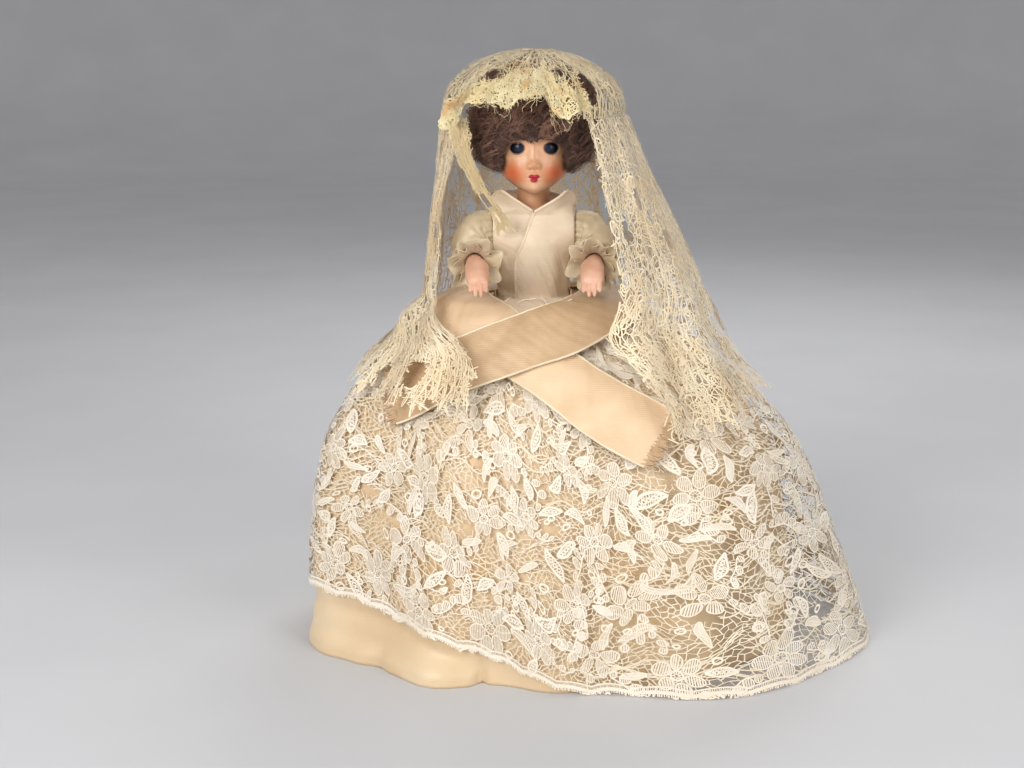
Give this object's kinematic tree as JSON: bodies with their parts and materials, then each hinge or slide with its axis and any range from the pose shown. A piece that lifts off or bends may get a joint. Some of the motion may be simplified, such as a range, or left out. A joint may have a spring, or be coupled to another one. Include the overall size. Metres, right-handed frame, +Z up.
{
  "type": "bride doll",
  "caption": "Standing dressed doll with turning head, sleep eyes and strung limbs, in a wrap-front satin gown with lace overskirt, sash and long lace veil.",
  "frame": {"origin": "centre of the footprint box on the floor that the doll stands on", "axes": "+Z up, the doll faces -Y, her own left hand and the lace train are towards +X"},
  "size_m": [0.1868, 0.1324, 0.1905],
  "materials": {
    "flesh": "painted flesh, slightly glossy",
    "eye": "glassy dark eye",
    "wire": "drawn wire",
    "lead": "dull cast weight",
    "elastic": "covered elastic cord",
    "hair": "mohair",
    "satin": "aged ivory satin",
    "lace": "machine lace",
    "cotton": "plain cotton",
    "ribbon": "satin ribbon",
    "veil_lace": "yellowed lace net",
    "shoe": "cream cloth shoe"
  },
  "bodies": {
    "torso": {"torso_shell": "flesh", "arm_elastic": "elastic", "leg_elastic": "elastic", "bodice_back": "satin", "bodice_left_front": "satin", "bodice_right_front": "satin", "waistband": "satin", "satin_skirt": "satin", "lace_overskirt": "lace", "petticoat": "cotton", "sash_wrap": "ribbon", "sash_front_tail": "ribbon", "sash_right_tail": "ribbon", "veil_left_fall": "veil_lace", "veil_back_fall": "veil_lace", "veil_right_fall": "veil_lace"},
    "head": {"head_shell": "flesh", "neck_hook": "wire", "wig": "hair", "veil_crown": "veil_lace", "veil_edging": "veil_lace"},
    "eyes": {"left_eye": "eye", "right_eye": "eye", "eye_rocker": "wire", "eye_weight": "lead"},
    "left_arm": {"left_arm": "flesh", "left_arm_hook": "wire", "left_sleeve": "satin", "left_cuff_frill": "satin"},
    "right_arm": {"right_arm": "flesh", "right_arm_hook": "wire", "right_sleeve": "satin", "right_cuff_frill": "satin"},
    "left_leg": {"left_leg": "flesh", "left_leg_hook": "wire", "left_shoe": "shoe"},
    "right_leg": {"right_leg": "flesh", "right_leg_hook": "wire", "right_shoe": "shoe"}
  },
  "joints": [
    {"name": "head_turn", "type": "hinge", "parent": "torso", "child": "head", "pos_m": [-0.01969, -0.00611, 0.142], "axis": [0, 0, 1], "range_deg": [-30, 30]},
    {"name": "eye_tilt", "type": "hinge", "parent": "head", "child": "eyes", "pos_m": [-0.01969, -0.01541, 0.161], "axis": [1, 0, 0], "range_deg": [0, 65]},
    {"name": "left_shoulder", "type": "hinge", "parent": "torso", "child": "left_arm", "pos_m": [-0.00759, -0.00911, 0.135], "axis": [-1, 0, 0], "range_deg": [-8, 25]},
    {"name": "right_shoulder", "type": "hinge", "parent": "torso", "child": "right_arm", "pos_m": [-0.03179, -0.00911, 0.135], "axis": [-1, 0, 0], "range_deg": [-8, 25]},
    {"name": "left_hip", "type": "hinge", "parent": "torso", "child": "left_leg", "pos_m": [-0.01149, -0.00611, 0.088], "axis": [-1, 0, 0], "range_deg": [-12, 14]},
    {"name": "right_hip", "type": "hinge", "parent": "torso", "child": "right_leg", "pos_m": [-0.02789, -0.00611, 0.088], "axis": [-1, 0, 0], "range_deg": [-12, 14]}
  ]
}
